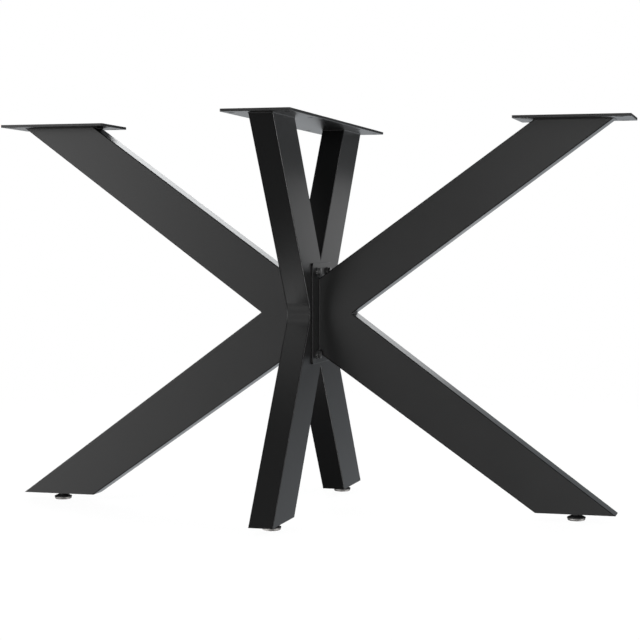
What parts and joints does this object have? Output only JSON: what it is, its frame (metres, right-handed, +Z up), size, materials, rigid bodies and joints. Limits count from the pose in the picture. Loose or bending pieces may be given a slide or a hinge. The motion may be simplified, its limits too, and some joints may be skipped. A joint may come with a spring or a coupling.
{
  "type": "star table base",
  "caption": "Star-shaped table base of crossed hollow steel arms, with drilled plates that carry a table top and screw-in levelling feet under the legs.",
  "frame": {"origin": "on the floor under the hub, feet screwed fully in", "axes": "+X along the table's length, +Y across it, +Z up"},
  "size_m": [1.1868, 0.6782, 0.72],
  "materials": {
    "black_coat": "satin black powder coat on steel",
    "black_bolts": "black oxide steel",
    "zinc": "bright zinc plate",
    "foot_plastic": "fine moulded grain",
    "nickel": "nickel plated pressed steel"
  },
  "bodies": {
    "frame": {"centre_top_plate": "black_coat", "front_upper_arm": "black_coat", "front_lower_arm": "black_coat", "front_foot_plate": "black_coat", "front_foot_nut": "zinc", "back_upper_arm": "black_coat", "back_lower_arm": "black_coat", "back_foot_plate": "black_coat", "back_foot_nut": "zinc", "left_upper_arm": "black_coat", "left_lower_arm": "black_coat", "left_foot_plate": "black_coat", "left_foot_nut": "zinc", "left_top_plate": "black_coat", "left_hub_flange": "black_coat", "left_hub_washers": "black_bolts", "left_hub_bolts": "black_bolts", "left_hub_nuts": "zinc", "right_upper_arm": "black_coat", "right_lower_arm": "black_coat", "right_foot_plate": "black_coat", "right_foot_nut": "zinc", "right_top_plate": "black_coat", "right_hub_flange": "black_coat", "right_hub_washers": "black_bolts", "right_hub_bolts": "black_bolts", "right_hub_nuts": "zinc"},
    "front_foot": {"front_foot_stud": "zinc", "front_foot_body": "foot_plastic", "front_foot_glide": "nickel"},
    "back_foot": {"back_foot_stud": "zinc", "back_foot_body": "foot_plastic", "back_foot_glide": "nickel"},
    "left_foot": {"left_foot_stud": "zinc", "left_foot_body": "foot_plastic", "left_foot_glide": "nickel"},
    "right_foot": {"right_foot_stud": "zinc", "right_foot_body": "foot_plastic", "right_foot_glide": "nickel"}
  },
  "joints": [
    {"name": "front_foot_screw", "type": "slide", "parent": "frame", "child": "front_foot", "axis": [0, 0, -1], "range_m": [0, 0.012]},
    {"name": "back_foot_screw", "type": "slide", "parent": "frame", "child": "back_foot", "axis": [0, 0, -1], "range_m": [0, 0.012]},
    {"name": "left_foot_screw", "type": "slide", "parent": "frame", "child": "left_foot", "axis": [0, 0, -1], "range_m": [0, 0.012]},
    {"name": "right_foot_screw", "type": "slide", "parent": "frame", "child": "right_foot", "axis": [0, 0, -1], "range_m": [0, 0.012]}
  ]
}
